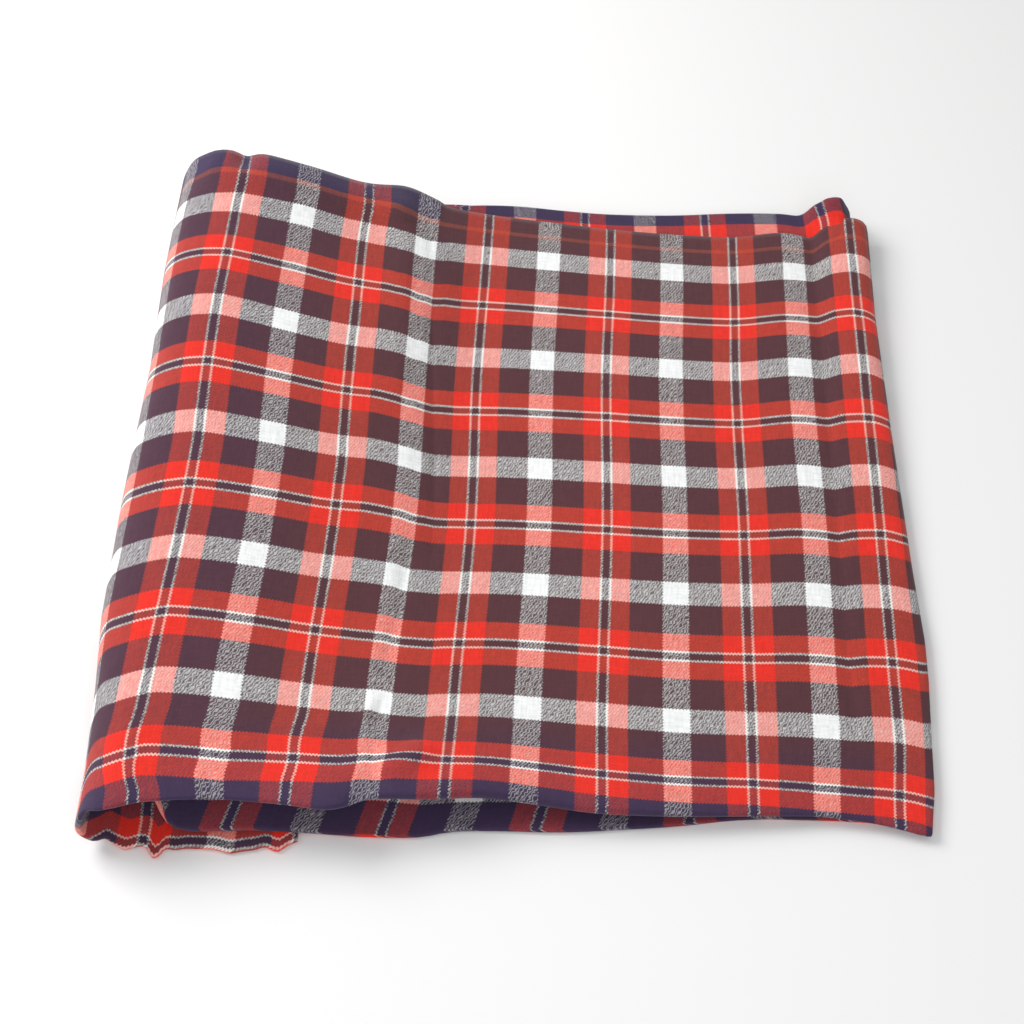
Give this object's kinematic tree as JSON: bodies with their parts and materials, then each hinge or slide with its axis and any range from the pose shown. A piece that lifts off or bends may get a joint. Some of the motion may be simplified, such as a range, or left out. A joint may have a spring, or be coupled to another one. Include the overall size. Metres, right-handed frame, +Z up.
{
  "type": "folded maasai shuka blanket",
  "caption": "Plaid twill shuka blanket in red, dark navy and white, folded in half both ways, with its free ends turned loosely under at the left.",
  "frame": {"origin": "bottom centre of the folded blanket's box", "axes": "+X to the right, towards the cross fold, +Y to the back, towards the selvedges, +Z up"},
  "size_m": [0.7886, 0.804, 0.1155],
  "materials": {
    "woven_cloth": "matte plaid twill in red, dark navy and white"
  },
  "bodies": {
    "root": {"shuka_cloth": "woven_cloth"}
  },
  "joints": []
}
